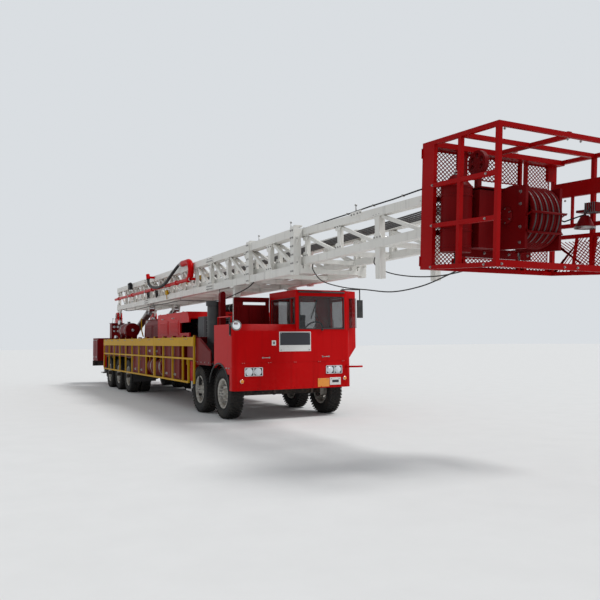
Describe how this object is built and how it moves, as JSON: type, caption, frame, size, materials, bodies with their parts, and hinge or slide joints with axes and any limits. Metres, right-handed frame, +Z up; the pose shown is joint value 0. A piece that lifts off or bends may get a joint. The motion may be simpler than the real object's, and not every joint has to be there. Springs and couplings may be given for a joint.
{
  "type": "truck-mounted workover rig",
  "caption": "Self-propelled oilfield workover rig: multi-axle carrier with offset half cab, stowed telescoping lattice mast and crown platform over the nose.",
  "frame": {"origin": "on the ground under the middle of the whole rig's box", "axes": "+X forward along the carrier, +Y to its left, +Z up"},
  "size_m": [21.9515, 3.08, 3.8663],
  "materials": {
    "bare_steel": "worn",
    "black_plastic": "matte",
    "chassis_black": "satin",
    "chrome_rod": "polished",
    "dark_red_paint": "satin",
    "engine_iron": "rough",
    "glass": "clear",
    "lamp_chrome": "polished",
    "red_paint": "gloss",
    "rubber": "matte",
    "seat_vinyl": "matte",
    "tyre": "worn",
    "white_paint": "satin",
    "yellow_paint": "satin"
  },
  "bodies": {
    "carrier": {"chassis": "chassis_black", "axles": "chassis_black", "nose": "red_paint", "cab": "red_paint", "cab_glass": "glass", "seat": "seat_vinyl", "controls": "black_plastic", "lamps": "lamp_chrome", "mirrors": "black_plastic", "partition": "dark_red_paint", "mast_rest": "white_paint", "deck": "dark_red_paint", "boxes": "dark_red_paint", "hood": "red_paint", "engine": "engine_iron", "intake": "black_plastic", "drawworks": "dark_red_paint", "mast_base": "red_paint", "jack_housings": "red_paint"},
    "knuckle_1l": {"knuckle_1l": "chassis_black"},
    "knuckle_1r": {"knuckle_1r": "chassis_black"},
    "knuckle_2l": {"knuckle_2l": "chassis_black"},
    "knuckle_2r": {"knuckle_2r": "chassis_black"},
    "wheel_1l": {"wheel_1l": "tyre"},
    "wheel_1r": {"wheel_1r": "tyre"},
    "wheel_2l": {"wheel_2l": "tyre"},
    "wheel_2r": {"wheel_2r": "tyre"},
    "wheel_3l": {"wheel_3l": "tyre"},
    "wheel_3r": {"wheel_3r": "tyre"},
    "wheel_4l": {"wheel_4l": "tyre"},
    "wheel_4r": {"wheel_4r": "tyre"},
    "wheel_5l": {"wheel_5l": "tyre"},
    "wheel_5r": {"wheel_5r": "tyre"},
    "handrail_fl": {"handrail_fl": "yellow_paint"},
    "handrail_fr": {"handrail_fr": "yellow_paint"},
    "handrail_rl": {"handrail_rl": "yellow_paint"},
    "handrail_rr": {"handrail_rr": "yellow_paint"},
    "jack_fl": {"jack_fl": "bare_steel"},
    "jack_fr": {"jack_fr": "bare_steel"},
    "jack_rl": {"jack_rl": "bare_steel"},
    "jack_rr": {"jack_rr": "bare_steel"},
    "cab_door": {"door": "red_paint", "door_glass": "glass"},
    "drum": {"drum": "bare_steel"},
    "raise_barrels": {"raise_barrels": "bare_steel"},
    "raise_stages": {"raise_stages": "chrome_rod"},
    "raise_rods": {"raise_rods": "chrome_rod"},
    "lower_mast": {"mast_lower": "white_paint", "lower_ties": "white_paint", "standpipe": "red_paint", "mud_hose": "rubber"},
    "upper_mast": {"mast_upper": "white_paint", "upper_ties": "white_paint", "cable_1": "rubber", "cable_2": "rubber", "crown_platform": "red_paint", "guard_sides": "red_paint", "guard_front": "red_paint", "crown_block": "dark_red_paint"},
    "crown_sheaves": {"crown_sheaves": "dark_red_paint"}
  },
  "joints": [
    {"name": "steer_1l", "type": "hinge", "parent": "carrier", "child": "knuckle_1l", "pos_m": [3.22177, 0.93, 0.5], "axis": [0, 0, 1], "range_deg": [-30, 30]},
    {"name": "steer_1r", "type": "hinge", "parent": "carrier", "child": "knuckle_1r", "pos_m": [3.22177, -0.93, 0.5], "axis": [0, 0, 1], "range_deg": [-30, 30]},
    {"name": "steer_2l", "type": "hinge", "parent": "carrier", "child": "knuckle_2l", "pos_m": [1.78177, 0.93, 0.5], "axis": [0, 0, 1], "range_deg": [-21, 21]},
    {"name": "steer_2r", "type": "hinge", "parent": "carrier", "child": "knuckle_2r", "pos_m": [1.78177, -0.93, 0.5], "axis": [0, 0, 1], "range_deg": [-21, 21]},
    {"name": "spin_1l", "type": "hinge", "parent": "knuckle_1l", "child": "wheel_1l", "pos_m": [3.22177, 1.1, 0.5], "axis": [0, 1, 0], "continuous": true},
    {"name": "spin_1r", "type": "hinge", "parent": "knuckle_1r", "child": "wheel_1r", "pos_m": [3.22177, -1.1, 0.5], "axis": [0, 1, 0], "continuous": true},
    {"name": "spin_2l", "type": "hinge", "parent": "knuckle_2l", "child": "wheel_2l", "pos_m": [1.78177, 1.1, 0.5], "axis": [0, 1, 0], "continuous": true},
    {"name": "spin_2r", "type": "hinge", "parent": "knuckle_2r", "child": "wheel_2r", "pos_m": [1.78177, -1.1, 0.5], "axis": [0, 1, 0], "continuous": true},
    {"name": "spin_3l", "type": "hinge", "parent": "carrier", "child": "wheel_3l", "pos_m": [-5.18823, 1.1, 0.5], "axis": [0, 1, 0], "continuous": true},
    {"name": "spin_3r", "type": "hinge", "parent": "carrier", "child": "wheel_3r", "pos_m": [-5.18823, -1.1, 0.5], "axis": [0, 1, 0], "continuous": true},
    {"name": "spin_4l", "type": "hinge", "parent": "carrier", "child": "wheel_4l", "pos_m": [-6.58823, 1.1, 0.5], "axis": [0, 1, 0], "continuous": true},
    {"name": "spin_4r", "type": "hinge", "parent": "carrier", "child": "wheel_4r", "pos_m": [-6.58823, -1.1, 0.5], "axis": [0, 1, 0], "continuous": true},
    {"name": "spin_5l", "type": "hinge", "parent": "carrier", "child": "wheel_5l", "pos_m": [-7.98823, 1.1, 0.5], "axis": [0, 1, 0], "continuous": true},
    {"name": "spin_5r", "type": "hinge", "parent": "carrier", "child": "wheel_5r", "pos_m": [-7.98823, -1.1, 0.5], "axis": [0, 1, 0], "continuous": true},
    {"name": "door_swing", "type": "hinge", "parent": "carrier", "child": "cab_door", "pos_m": [3.59177, 1.514, 1.9], "axis": [0, 0, -1], "range_deg": [0, 70]},
    {"name": "handrail_front_left", "type": "hinge", "parent": "carrier", "child": "handrail_fl", "pos_m": [0, 1.33, 1.665], "axis": [1, 0, 0], "range_deg": [0, 180]},
    {"name": "handrail_front_right", "type": "hinge", "parent": "carrier", "child": "handrail_fr", "pos_m": [0, -1.33, 1.665], "axis": [-1, 0, 0], "range_deg": [0, 180]},
    {"name": "handrail_rear_left", "type": "hinge", "parent": "carrier", "child": "handrail_rl", "pos_m": [0, 1.33, 1.665], "axis": [1, 0, 0], "range_deg": [0, 180]},
    {"name": "handrail_rear_right", "type": "hinge", "parent": "carrier", "child": "handrail_rr", "pos_m": [0, -1.33, 1.665], "axis": [-1, 0, 0], "range_deg": [0, 180]},
    {"name": "jack_front_left", "type": "slide", "parent": "carrier", "child": "jack_fl", "axis": [0, 0, -1], "range_m": [0, 0.42]},
    {"name": "jack_front_right", "type": "slide", "parent": "carrier", "child": "jack_fr", "axis": [0, 0, -1], "range_m": [0, 0.42]},
    {"name": "jack_rear_left", "type": "slide", "parent": "carrier", "child": "jack_rl", "axis": [0, 0, -1], "range_m": [0, 0.42]},
    {"name": "jack_rear_right", "type": "slide", "parent": "carrier", "child": "jack_rr", "axis": [0, 0, -1], "range_m": [0, 0.42]},
    {"name": "drum_spin", "type": "hinge", "parent": "carrier", "child": "drum", "pos_m": [-5.08823, 0, 2], "axis": [0, 1, 0], "continuous": true},
    {"name": "mast_raise", "type": "hinge", "parent": "carrier", "child": "lower_mast", "pos_m": [-9.38823, 0, 2.5], "axis": [0, -1, 0], "range_deg": [0, 94]},
    {"name": "mast_extend", "type": "slide", "parent": "lower_mast", "child": "upper_mast", "axis": [1, 0, 0], "range_m": [0, 12.2]},
    {"name": "crown_spin", "type": "hinge", "parent": "upper_mast", "child": "crown_sheaves", "pos_m": [10.20999, 0, 2.96763], "axis": [0, 1, 0], "continuous": true},
    {"name": "barrel_swing", "type": "hinge", "parent": "carrier", "child": "raise_barrels", "pos_m": [-8.08823, 0, 1.8], "axis": [0, -1, 0], "range_deg": [0, 93.13]},
    {"name": "stage_slide", "type": "slide", "parent": "raise_barrels", "child": "raise_stages", "axis": [0.9524, 0, 0.3048], "range_m": [0, 1.084]},
    {"name": "rod_slide", "type": "slide", "parent": "raise_stages", "child": "raise_rods", "axis": [0.9524, 0, 0.3048], "range_m": [0, 1.084]}
  ],
  "couplings": [
    {"joint": "steer_1r", "follows": "steer_1l", "ratio": 1},
    {"joint": "steer_2l", "follows": "steer_1l", "ratio": 0.7},
    {"joint": "steer_2r", "follows": "steer_1l", "ratio": 0.7},
    {"joint": "barrel_swing", "follows": "mast_raise", "ratio": 0.98538},
    {"joint": "stage_slide", "follows": "mast_raise", "m_per_rad": 0.65768},
    {"joint": "rod_slide", "follows": "mast_raise", "m_per_rad": 0.65768}
  ]
}
